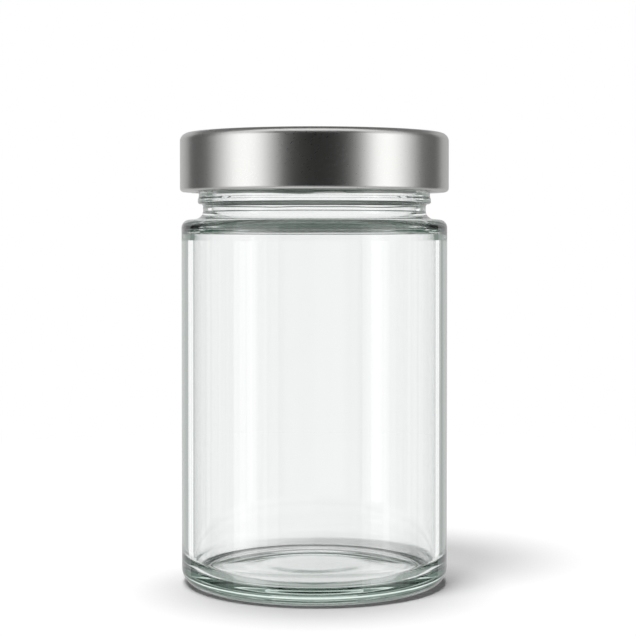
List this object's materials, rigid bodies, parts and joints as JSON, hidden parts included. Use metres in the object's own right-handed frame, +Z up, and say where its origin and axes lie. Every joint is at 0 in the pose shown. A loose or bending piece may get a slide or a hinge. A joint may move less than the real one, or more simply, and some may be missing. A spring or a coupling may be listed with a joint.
{
  "type": "glass jar",
  "caption": "Clear straight-sided glass jar for preserves, shut with a deep twist-off lid of silver pressed steel.",
  "frame": {"origin": "centre of the foot, on the surface the jar stands on", "axes": "+Z up along the axis of jar and lid; the middle of one thread ridge lies on +X"},
  "size_m": [0.0728, 0.0728, 0.1215],
  "materials": {
    "glass": "clear, smooth, faint green in thick places",
    "lid_steel": "satin silver, very fine grain"
  },
  "bodies": {
    "root": {"jar": "glass", "lid": "lid_steel"}
  },
  "joints": []
}
